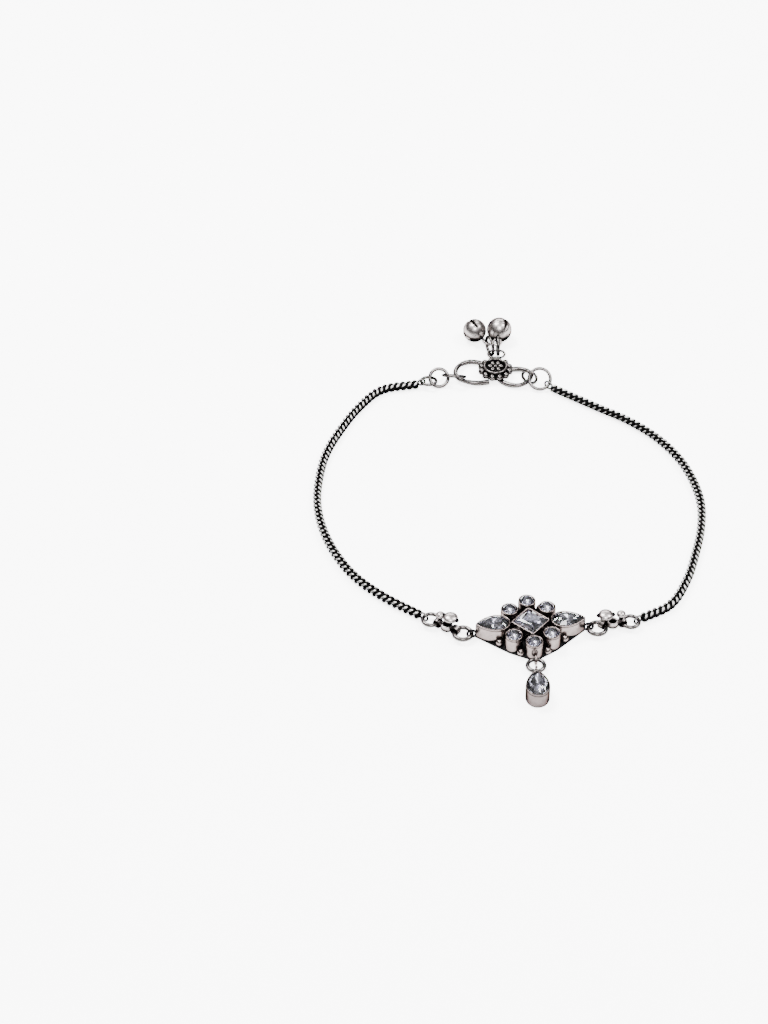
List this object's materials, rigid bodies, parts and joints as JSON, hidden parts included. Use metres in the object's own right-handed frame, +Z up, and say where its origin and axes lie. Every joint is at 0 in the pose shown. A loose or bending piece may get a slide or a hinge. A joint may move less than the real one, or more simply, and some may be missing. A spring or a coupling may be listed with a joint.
{
  "type": "payal anklet",
  "caption": "Lying silver payal anklet: woven chain loop, stone-set lozenge ornament with a pear drop, S-hook clasp with a beaded rosette and small bells",
  "frame": {"origin": "middle of the part's box, on the surface it lies on", "axes": "+Z up from the surface; +Y from the front ornament and drop to the clasp and bells; +X to the right seen from the drop"},
  "size_m": [0.0838, 0.1224, 0.0056],
  "materials": {
    "silver": "polished silver with dark recesses",
    "dark_silver": "oxidised silver weave, bright lobes",
    "stone": "clear cut stone with a lilac cast"
  },
  "bodies": {
    "root": {"ornament_setting": "silver", "drop_setting": "silver", "drop_jump_ring": "silver", "link_ring_left": "silver", "link_ring_right": "silver", "button_link_left": "silver", "button_link_right": "silver", "front_ring_left": "silver", "front_ring_right": "silver", "hook_clasp": "silver", "hook_ring_left": "silver", "hook_ring_right": "silver", "clasp_ring_left": "silver", "back_ring_left": "silver", "back_ring_right": "silver", "bell_left": "silver", "bell_right": "silver", "bell_ring_left": "silver", "bell_ring_right": "silver", "chain_left": "dark_silver", "chain_right": "dark_silver", "stone_centre": "stone", "stone_pear_left": "stone", "stone_pear_right": "stone", "stone_drop": "stone", "stone_round_front_left": "stone", "stone_round_front_middle": "stone", "stone_round_front_right": "stone", "stone_round_back_left": "stone", "stone_round_back_middle": "stone", "stone_round_back_right": "stone"}
  },
  "joints": []
}
